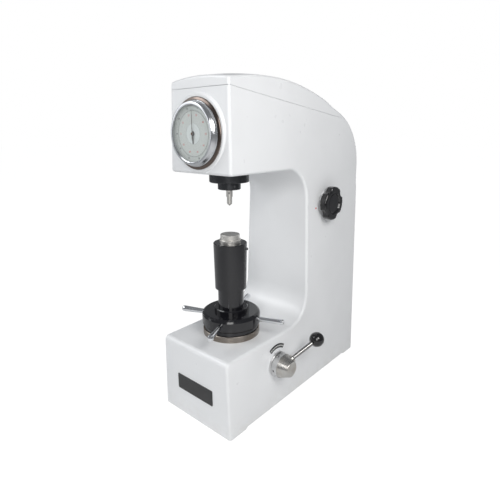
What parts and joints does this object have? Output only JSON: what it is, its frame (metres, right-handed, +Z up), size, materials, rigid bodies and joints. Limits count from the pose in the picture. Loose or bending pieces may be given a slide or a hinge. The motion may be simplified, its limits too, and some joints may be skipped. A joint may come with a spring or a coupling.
{
  "type": "hardness tester",
  "caption": "Bench hardness tester: white C-shaped casting with a handwheel-raised anvil under an indenter spindle, a round depth dial, a load lever and a lobed load knob.",
  "frame": {"origin": "on the bench plane, under the axis of the elevating screw and the spindle", "axes": "+Z up along the screw; -Y is the front with the dial; +X is the side with the load lever and the load knob"},
  "size_m": [0.2487, 0.4577, 0.6321],
  "materials": {
    "white_enamel": "gloss",
    "black_enamel": "gloss",
    "black_plate": "satin",
    "dark_steel": "satin",
    "bright_steel": "satin",
    "screw_steel": "satin",
    "chrome": "polished",
    "black_plastic": "gloss",
    "mark_paint": "gloss",
    "dial_face": "matte",
    "pointer_paint": "satin",
    "dial_glass": "polished",
    "hard_steel": "satin",
    "bronze": "satin",
    "grey_iron": "painted"
  },
  "bodies": {
    "frame": {"body_casting": "white_enamel", "top_cover": "white_enamel", "rear_cover": "white_enamel", "rear_cover_screws": "screw_steel", "name_plate": "black_plate", "lever_index_plate": "black_plate", "load_index_marks": "mark_paint", "seat_ring": "dark_steel", "thrust_race_lower": "hard_steel", "thrust_balls": "hard_steel", "guide_bush": "bronze", "guide_key": "hard_steel", "spindle_housing": "dark_steel", "housing_nut": "hard_steel", "spindle_guide_ring": "dark_steel", "guide_ring_screw": "screw_steel", "dial_case": "chrome", "lever_bush": "bronze", "lever_flange": "bright_steel", "rocker_pin": "hard_steel", "fulcrum_posts": "grey_iron", "dashpot_cylinder": "grey_iron", "dashpot_cap": "grey_iron"},
    "wheel": {"thrust_race_upper": "hard_steel", "handwheel": "black_enamel", "handwheel_spokes": "chrome", "nut_collar": "black_enamel", "lifting_nut": "black_enamel"},
    "screw": {"elevating_screw": "hard_steel", "dust_sleeve": "black_enamel", "sleeve_screw": "screw_steel", "anvil": "bright_steel"},
    "spindle": {"spindle": "bright_steel", "indenter": "bright_steel", "indenter_screw": "screw_steel"},
    "bezel": {"dial_bezel": "chrome", "dial_glass": "dial_glass", "dial_plate": "dial_face"},
    "long_hand": {"long_pointer": "pointer_paint"},
    "short_hand": {"short_pointer": "pointer_paint"},
    "lever": {"lever_collar": "bright_steel", "lever_collar_screws": "screw_steel", "lever_head": "bright_steel", "lever_rod": "chrome", "lever_ball": "black_plastic", "lever_shaft": "hard_steel", "load_cam": "hard_steel"},
    "rocker": {"lift_rocker": "grey_iron"},
    "beam": {"main_beam": "grey_iron", "beam_knives": "hard_steel"},
    "hanger": {"hanger_rod": "hard_steel", "weight_tray": "grey_iron", "base_weight": "grey_iron", "middle_weight": "grey_iron", "upper_weight": "grey_iron", "dashpot_piston": "hard_steel"},
    "selector": {"selector_knob": "black_plastic", "selector_knob_cap": "black_plastic", "selector_shaft": "hard_steel", "selector_cams": "hard_steel"}
  },
  "joints": [
    {"name": "screw_slide", "type": "slide", "parent": "frame", "child": "screw", "axis": [0, 0, 1], "range_m": [-0.038, 0.05]},
    {"name": "handwheel_turn", "type": "hinge", "parent": "frame", "child": "wheel", "pos_m": [0, 0, 0.186], "axis": [0, 0, -1], "range_deg": [-2736, 3600]},
    {"name": "spindle_slide", "type": "slide", "parent": "frame", "child": "spindle", "axis": [0, 0, 1], "range_m": [0, 0.001]},
    {"name": "long_hand_turn", "type": "hinge", "parent": "frame", "child": "long_hand", "pos_m": [0, -0.075, 0.5343], "axis": [0, 1, 0], "range_deg": [0, 1800]},
    {"name": "short_hand_turn", "type": "hinge", "parent": "frame", "child": "short_hand", "pos_m": [0, -0.075, 0.5343], "axis": [0, 1, 0], "range_deg": [0, 180]},
    {"name": "bezel_turn", "type": "hinge", "parent": "frame", "child": "bezel", "pos_m": [0, -0.082, 0.5343], "axis": [0, 1, 0], "continuous": true},
    {"name": "hanger_drop", "type": "slide", "parent": "frame", "child": "hanger", "axis": [0, 0, -1], "range_m": [0, 0.006]},
    {"name": "lever_turn", "type": "hinge", "parent": "frame", "child": "lever", "pos_m": [0, 0.0365, 0.0955], "axis": [1, 0, 0], "range_deg": [0, 100]},
    {"name": "rocker_tilt", "type": "hinge", "parent": "frame", "child": "rocker", "pos_m": [0, 0.13, 0.084], "axis": [-1, 0, 0], "range_deg": [0, 2.86]},
    {"name": "beam_tilt", "type": "hinge", "parent": "frame", "child": "beam", "pos_m": [0, -0.014, 0.548], "axis": [-1, 0, 0], "range_deg": [0, 1.3]},
    {"name": "selector_turn", "type": "hinge", "parent": "frame", "child": "selector", "pos_m": [0.08, 0.2128, 0.3932], "axis": [1, 0, 0], "range_deg": [0, 240]}
  ],
  "couplings": [
    {"joint": "handwheel_turn", "follows": "screw_slide", "rad_per_m": 1256.6},
    {"joint": "long_hand_turn", "follows": "spindle_slide", "rad_per_m": 31416},
    {"joint": "short_hand_turn", "follows": "spindle_slide", "rad_per_m": 3141.6},
    {"joint": "lever_turn", "follows": "hanger_drop", "rad_per_m": 290.89},
    {"joint": "rocker_tilt", "follows": "hanger_drop", "rad_per_m": 8.3333},
    {"joint": "beam_tilt", "follows": "hanger_drop", "rad_per_m": 3.7881}
  ]
}
